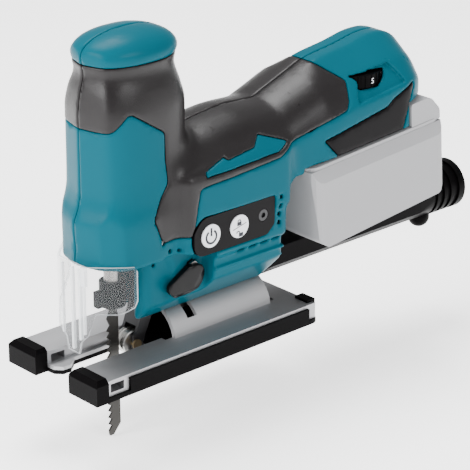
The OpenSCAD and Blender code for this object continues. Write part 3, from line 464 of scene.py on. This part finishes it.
def build_casing():
    """Both halves of the casing, with their rubber and their rear inlays."""
    g = Field((-68, -36, 22), (184, 36, 191), STEP)
    form = casing(g)
    shell = trim(form, -(form + SKIN), 0.5)
    shell = vents_and_marks(g, mechanism_openings(g, shell))
    grip = np.maximum(outline(g, GRIP_ZONE), -outline(g, SLIVER))
    pad = outline(g, PAD_ZONE)
    gap = RUNNING_GAP / 2
    for side, name in ((-1, "left"), (1, "right")):
        half = gap - side * g.y
        hard = trim(trim(shell, gap - np.minimum(grip, pad), 0.9), half, 0.7)
        skin = g.mesh(f"{name}_casing_skin", hard, TEAL)
        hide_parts(f"{name}_housing")
        rubber = trim(trim(shell - 0.15, gap + grip, 1.0), half, 0.7)
        over = g.mesh(f"{name}_grip_rubber", rubber, RUBBER)
        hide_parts(f"{name}_grip_overmould")
        inlay = trim(trim(shell + 0.1, gap + pad, 0.9), half, 0.7)
        plate = g.mesh(f"{name}_rear_inlay", inlay, GLOSS)
        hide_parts(f"{name}_rear_pad")
        for obj in (skin, over, plate):
            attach(obj, "housing")


build_casing()

# ---------- parts with their own meshes ----------


def mesh_object(name, points, faces, mat, body, smooth=False):
    """A mesh from points in mm, riding on a body."""
    mesh = bpy.data.meshes.new(name)
    mesh.from_pydata([tuple(v * MM for v in p) for p in points], [], faces)
    mesh.polygons.foreach_set("use_smooth", [smooth] * len(mesh.polygons))
    mesh.materials.append(mat)
    obj = bpy.data.objects.new(name, mesh)
    bpy.context.collection.objects.link(obj)
    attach(obj, body)
    return obj


def thicken(obj, thickness, rim):
    """Gives a sheet its thickness on its inner side; the rim uses another of its materials."""
    wall = obj.modifiers.new("wall", "SOLIDIFY")
    wall.thickness = thickness * MM
    wall.offset = 1
    wall.material_offset_rim = rim


def cover_edge(side):
    """Height of the clear cover's lower edge: a tongue in front, higher along the wings."""
    tongue, shoulder = 4.7, 12.4
    if side < tongue:
        return 14.4
    if side < shoulder:
        return side + 15.0
    return max(min(27.4 + (side - shoulder) * 4, 39.5), side + 14.6)


def build_cover():
    """Thin clear guard round the blade, open at the rear, with ribs on its front."""
    front, top, wall = -66.1, 66.5, 1.5
    half = [(-44.8, 29.4), (-46.5, 28.9), (-49.5, 27), (-53, 24.2), (-57, 20.7), (-60.6, 17.2),
            (-62.4, 15.4), (-64.4, 13.6), (-65.6, 12.2)]
    half += [(front, y) for y in (10.4, 8.4, 6.4, 4.6, 2, 0)]
    plan = half + [(x, -y) for x, y in reversed(half[:-1])]
    rows = 12
    points = []
    for x, y in plan:
        low, high = cover_edge(abs(y)), top
        if x > -46:                          # cut corners at the rear edges
            low += 3
            high -= 2.5
        points += [(x, y, low + (high - low) * i / rows) for i in range(rows + 1)]
    faces = []
    for column in range(len(plan) - 1):
        for i in range(rows):
            a = column * (rows + 1) + i
            b = a + rows + 1
            faces.append((a, a + 1, b + 1, b))
    cover = mesh_object("clear_cover", points, faces, CLEAR, "cover", smooth=True)
    # The rim of the cover's wall takes this second material, the near-white painted highlight.
    cover.data.materials.append(PAINTED_HIGHLIGHT)
    thicken(cover, wall, rim=1)
    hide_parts("blade_cover")
    # ribs as (y, lower end, width), and the catch on the left corner; the ribs and the catch are real,
    # and their near-white colour is a painted highlight
    ribs = ((-11.4, 28, 0.9), (-8.6, 24, 1.9), (-2.4, 17, 1.9), (6.4, 24, 1.0))
    for i, (y, low, width) in enumerate(ribs):
        add_block(f"cover_rib_{i}", (-67.3, y, low), (-65.3, y + width, 64.5), PAINTED_HIGHLIGHT, "cover", 0.4)
    add_block("cover_catch", (-67.6, -13.2, 56), (-65.4, -9, 66.8), PAINTED_HIGHLIGHT, "cover", 0.5)


def add_block(name, low, high, mat, body, round_by):
    """A box from corner to corner in mm, with rounded edges."""
    xs, ys, zs = zip(low, high)
    points = [(x, y, z) for x in xs for y in ys for z in zs]
    faces = [(0, 1, 3, 2), (4, 6, 7, 5), (0, 4, 5, 1), (2, 3, 7, 6), (0, 2, 6, 4), (1, 5, 7, 3)]
    obj = mesh_object(name, points, faces, mat, body)
    edges = obj.modifiers.new("edges", "BEVEL")
    edges.width = round_by * MM
    edges.segments = 2


def ribbon(points, width, y, thickness=0.16):
    """Flat stroke through (x, z) points on a face that looks to -Y: its vertices and faces."""
    path = [Vector(p) for p in points]
    vertices = []
    for i, p in enumerate(path):
        along = (path[min(i + 1, len(path) - 1)] - path[max(i - 1, 0)]).normalized()
        across = Vector((-along.y, along.x)) * width / 2
        for q in (p - across, p + across):
            vertices += [(q.x, y, q.y), (q.x, y - thickness, q.y)]
    faces = [(0, 1, 3, 2)]
    for i in range(len(path) - 1):
        a, b = 4 * i, 4 * i + 4
        faces += [(a + 1, b + 1, b + 3, a + 3), (a, b, b + 1, a + 1), (a + 2, a + 3, b + 3, b + 2),
                  (a, a + 2, b + 2, b)]
    end = 4 * (len(path) - 1)
    faces.append((end, end + 2, end + 3, end + 1))
    return vertices, faces


def arc(x, z, r, start, stop, steps=20):
    """Points along an arc, with its angles in degrees."""
    angles = [radians(start + (stop - start) * i / steps) for i in range(steps + 1)]
    return [(x + r * cos(a), z + r * sin(a)) for a in angles]


def strokes(name, lines, y, mat, body):
    """One object from several flat strokes [(points, width), ...]."""
    points, faces = [], []
    for line, width in lines:
        v, f = ribbon(line, width, y)
        faces += [tuple(i + len(points) for i in face) for face in f]
        points += v
    mesh_object(name, points, faces, mat, body)


def padlock(x, z, size, swing):
    """Body and shackle of a small padlock; swing shifts the shackle when it is open."""
    body = ([(x - size, z - size * 0.7), (x + size, z - size * 0.7)], size * 1.4)
    shackle = (arc(x + swing, z + size * 0.1, size * 0.7, 0, 180, 12), size * 0.35)
    return [body, shackle]


def build_icons():
    """Power sign on the first button; closed and open padlock on the second."""
    face = PANEL_Y - 1.25
    z = 72.3
    x = BUTTON_X[0]
    ring = (arc(x, z - 0.3, 3.6, 122, 418), 1.2)
    bar = ([(x, z + 0.2), (x, z + 4.8)], 1.2)
    strokes("power_icon", [ring, bar], face, INK, "power_key")
    x = BUTTON_X[1]
    lines = padlock(x - 0.3, z + 2.9, 1.5, 0) + padlock(x + 0.9, z - 3.6, 1.5, -2.0)
    lines.append(([(x - 4.8, z - 0.9), (x + 4.8, z + 1.3)], 0.35))
    strokes("lock_icon", lines, face, INK, "lock_key")


def build_digits():
    """Numbers 1 to 6 round the speed dial, 50 degrees apart, with the 5 in the window."""
    dial_x, dial_y, dial_z = DIAL_AT
    for i in range(6):
        text = bpy.data.curves.new(f"dial_text_{i}", "FONT")
        text.body = str(i + 1)
        text.size = 4.4 * MM
        text.extrude = 0.08 * MM
        text.align_x = "CENTER"
        text.align_y = "CENTER"
        holder = bpy.data.objects.new(f"dial_text_{i}", text)
        mesh = bpy.data.meshes.new_from_object(holder)
        bpy.data.objects.remove(holder)
        angle = radians(-90 + 50 * (i - 4))
        points = []
        for v in mesh.vertices:
            turn = angle + v.co.x / (DIAL_R * MM)
            r = DIAL_R + 0.55 + v.co.z / MM
            points.append((dial_x + r * cos(turn), dial_y + r * sin(turn), dial_z + v.co.y / MM))
        faces = [tuple(f.vertices) for f in mesh.polygons]
        bpy.data.meshes.remove(mesh)
        mesh_object(f"dial_digit_{i + 1}", points, faces, WHITE, "dial")


def build_lever():
    """Wide lever with a ridge along it, thinner towards both long edges."""
    g = Field((-24, -28, 28), (11, -20, 62), 0.4)
    # signed distance from the ridge's line, which passes through x -0.6, z 44
    run, rise = 9.6, 13.3
    crest = ((g.x + 0.6) * rise - (g.z - 44) * run) / 16.4
    face = -25.8 + np.where(crest < 0, -0.1, 0.28) * crest - g.y
    slab = trim(trim(outline(g, LEVER_ZONE), face, 0.6), g.y + 21.0, 0.4)
    # clear of the side of the shoe that rises when it tilts
    slab = trim(slab, (np.abs(g.y) + TILT_RISE + 0.2 - g.z) / DIAGONAL, 0.5)
    lever = g.mesh("lever_cap", slab, LEVER)
    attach(lever, "pendulum_lever")
    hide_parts("orbit_lever")


build_cover()
build_icons()
build_digits()
build_lever()

# ---------- CAD nodes that stay ----------

FINISH = {
    "gear_frame": CAST, "lower_bush": BRONZE, "upper_bush": BRONZE, "roller_pin": BRONZE,
    "stator_windings": COPPER, "receiver_contacts": COPPER, "button_board": BOARD, "controller": BOARD,
    "cooling_fan": BLACK, "speed_dial": BLACK, "battery_receiver": BLACK, "shoe_cover": BLACK,
    "dust_nozzle": BLACK, "dial_potentiometer": BLACK, "blade_clamp": BLACK, "clamp_sleeve": BLACK,
    "control_panel": GLOSS, "power_button": WHITE, "lock_button": WHITE, "work_light_lens": CLEAR,
    "shoe_plate": ALUMINIUM, "blade": BLADE, "guide_roller": BRIGHT_STEEL, "guide_arm": DARK_STEEL,
    "panel_screw": DARK_STEEL, "yoke_plate": DARK_STEEL, "battery_case": PALE, "battery_top": PALE,
    "battery_cells": PALE_DARK, "battery_latch": PALE_DARK,
}
REPLACED = ("left_housing", "right_housing", "left_grip_overmould", "right_grip_overmould",
            "left_rear_pad", "right_rear_pad", "blade_cover", "orbit_lever")
# Width of the rounded edges in mm.
EDGE = {
    "shoe_plate": 0.5, "shoe_cover": 0.7, "dust_nozzle": 0.7, "battery_case": 1.2, "battery_top": 0.8,
    "control_panel": 0.4, "power_button": 0.5, "lock_button": 0.5, "guide_arm": 0.5,
    "battery_latch": 0.5, "speed_dial": 0.3,
}


def soften(obj, width):
    """Rounds hard edges a little."""
    bevel = obj.modifiers.new("edges", "BEVEL")
    bevel.width = width * MM
    bevel.segments = 2
    bevel.limit_method = "ANGLE"
    bevel.angle_limit = radians(40)
    bevel.harden_normals = True


for node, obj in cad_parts.items():
    if node in REPLACED:
        continue
    for material_slot in obj.material_slots:
        material_slot.material = FINISH.get(node, STEEL)
    if node in EDGE:
        soften(obj, EDGE[node])


# ---------- floor, light and camera ----------

FLOOR_Z = -0.0452                            # just under the tip of the blade, in metres


def area_light(name, place, size, power):
    """Rectangular lamp that looks at the middle of the tool; sizes in metres."""
    target = Vector((0.05, 0, 0.06))
    light = bpy.data.lights.new(name, "AREA")
    light.shape = "RECTANGLE"
    light.size, light.size_y = size
    light.energy = power
    obj = bpy.data.objects.new(name, light)
    obj.location = place
    obj.rotation_euler = (target - Vector(place)).to_track_quat("-Z", "Y").to_euler()
    bpy.context.collection.objects.link(obj)


def build_stage():
    """Pale floor, white surroundings and three soft lamps."""
    bpy.ops.mesh.primitive_plane_add(size=60, location=(0, 0, FLOOR_Z))
    floor = bpy.context.object
    floor.name = "floor"
    floor.data.materials.append(FLOOR)
    world = bpy.data.worlds.new("studio")
    world.use_nodes = True
    world.node_tree.nodes["Background"].inputs["Color"].default_value = (1.0, 1.0, 1.0, 1.0)
    world.node_tree.nodes["Background"].inputs["Strength"].default_value = 0.62
    bpy.context.scene.world = world
    area_light("key", (-1.2, 0.1, 0.7), (0.7, 0.9), 30)
    area_light("side", (0.2, -1.4, 0.9), (0.8, 0.5), 15)
    area_light("top", (0.1, 0.4, 1.4), (0.9, 0.7), 34)


def build_camera():
    """Long lens from the front left and above."""
    azimuth, elevation, distance = radians(-42.45), radians(22.18), 1.235
    target = Vector((0.0509, 0.0, 0.0495))
    back = Vector((sin(azimuth) * cos(elevation), -cos(azimuth) * cos(elevation), sin(elevation)))
    camera = bpy.data.cameras.new("camera")
    camera.sensor_width = 36
    camera.lens = 168.5
    camera.clip_end = 100
    obj = bpy.data.objects.new("camera", camera)
    obj.location = target + distance * back
    obj.rotation_euler = (-back).to_track_quat("-Z", "Y").to_euler()
    bpy.context.collection.objects.link(obj)
    bpy.context.scene.camera = obj


build_stage()
build_camera()
